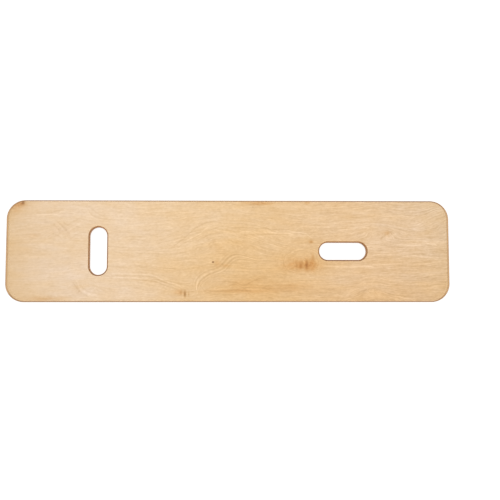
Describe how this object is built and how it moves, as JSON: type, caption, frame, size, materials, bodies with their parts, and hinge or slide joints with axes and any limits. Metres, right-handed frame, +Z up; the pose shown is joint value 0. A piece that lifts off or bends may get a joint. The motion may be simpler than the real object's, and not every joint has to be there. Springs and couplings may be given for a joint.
{
  "type": "transfer board",
  "caption": "Flat wooden transfer board with rounded corners, eased edges, thinned ends, and two hand slots, one across the board and one along it.",
  "frame": {"origin": "centre of the underside, on the plane the board rests on", "axes": "+X along the length, towards the end with the lengthwise slot; +Y across the width; +Z up, out of the sliding face"},
  "size_m": [0.889, 0.2032, 0.018],
  "materials": {
    "face_veneer": "satin",
    "longband_veneer": "satin",
    "crossband_veneer": "satin",
    "glue_line": "satin"
  },
  "bodies": {
    "root": {"ply_01_face_veneer": "face_veneer", "glue_film_01_02": "glue_line", "ply_02_crossband": "crossband_veneer", "glue_film_02_03": "glue_line", "ply_03_longband": "longband_veneer", "glue_film_03_04": "glue_line", "ply_04_crossband": "crossband_veneer", "glue_film_04_05": "glue_line", "ply_05_longband": "longband_veneer", "glue_film_05_06": "glue_line", "ply_06_crossband": "crossband_veneer", "glue_film_06_07": "glue_line", "ply_07_centre_ply": "longband_veneer", "glue_film_07_08": "glue_line", "ply_08_crossband": "crossband_veneer", "glue_film_08_09": "glue_line", "ply_09_longband": "longband_veneer", "glue_film_09_10": "glue_line", "ply_10_crossband": "crossband_veneer", "glue_film_10_11": "glue_line", "ply_11_longband": "longband_veneer", "glue_film_11_12": "glue_line", "ply_12_crossband": "crossband_veneer", "glue_film_12_13": "glue_line", "ply_13_back_veneer": "face_veneer"}
  },
  "joints": []
}
